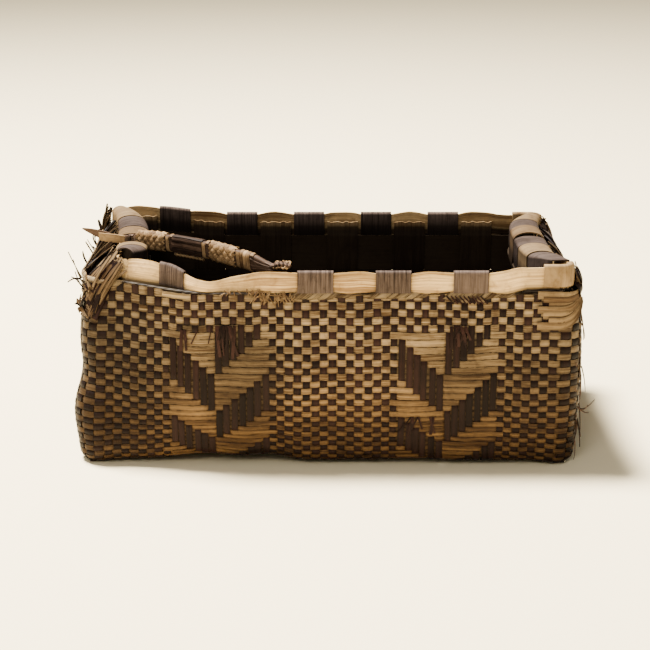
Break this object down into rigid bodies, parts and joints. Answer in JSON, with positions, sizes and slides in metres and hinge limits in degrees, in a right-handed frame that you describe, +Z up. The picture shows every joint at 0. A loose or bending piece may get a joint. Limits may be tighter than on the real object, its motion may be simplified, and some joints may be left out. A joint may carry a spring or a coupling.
{
  "type": "basket",
  "caption": "Rectangular open basket of wide splints in a fine plaited cover, with a folded rim and a bound strap that lifts from its left end.",
  "frame": {"origin": "centre of the flat bottom, on the surface that the basket stands on", "axes": "X runs along the basket with the strap's hinge at its -X end, the decorated front faces -Y, and Z points up"},
  "size_m": [0.3402, 0.184, 0.1449],
  "materials": {
    "fine_weave": "matt plaited splint",
    "light_splint": "satin bare splint",
    "dark_splint": "matt dyed splint",
    "rim_splint": "satin bare splint",
    "strap_cane": "matt cane",
    "strap_dark": "matt dyed cane"
  },
  "bodies": {
    "basket": {"outer_cover": "fine_weave", "cover_border": "fine_weave", "cross_stake_1": "light_splint", "cross_stake_2": "dark_splint", "cross_stake_3": "light_splint", "cross_stake_4": "dark_splint", "cross_stake_5": "light_splint", "cross_stake_6": "dark_splint", "cross_stake_7": "light_splint", "cross_stake_8": "dark_splint", "cross_stake_9": "light_splint", "cross_stake_10": "dark_splint", "cross_stake_11": "light_splint", "cross_stake_12": "light_splint", "long_stake_1": "light_splint", "long_stake_2": "dark_splint", "long_stake_3": "light_splint", "long_stake_4": "dark_splint", "long_stake_5": "light_splint", "long_stake_6": "dark_splint", "wall_weaver_1": "light_splint", "wall_weaver_2": "light_splint", "wall_weaver_3": "light_splint", "wall_weaver_4": "light_splint", "rim_band": "rim_splint", "corner_wrap_front": "rim_splint", "corner_wrap_back": "rim_splint", "strap_tail": "strap_cane", "strap_tongue": "strap_dark"},
    "strap": {"strap_core": "strap_dark", "strap_braid_near": "strap_cane", "strap_panel": "strap_dark", "strap_braid_far": "strap_cane", "strap_winding_near": "strap_cane", "strap_winding_mid": "strap_cane", "strap_winding_far": "strap_cane", "strap_tie": "strap_dark", "strap_edging": "strap_cane", "strap_end_knots": "strap_dark"}
  },
  "joints": [
    {"name": "strap_lift", "type": "hinge", "parent": "basket", "child": "strap", "pos_m": [-0.13887, -0.00486, 0.13854], "axis": [-0.5429, -0.8398, 0], "range_deg": [0, 75]}
  ]
}
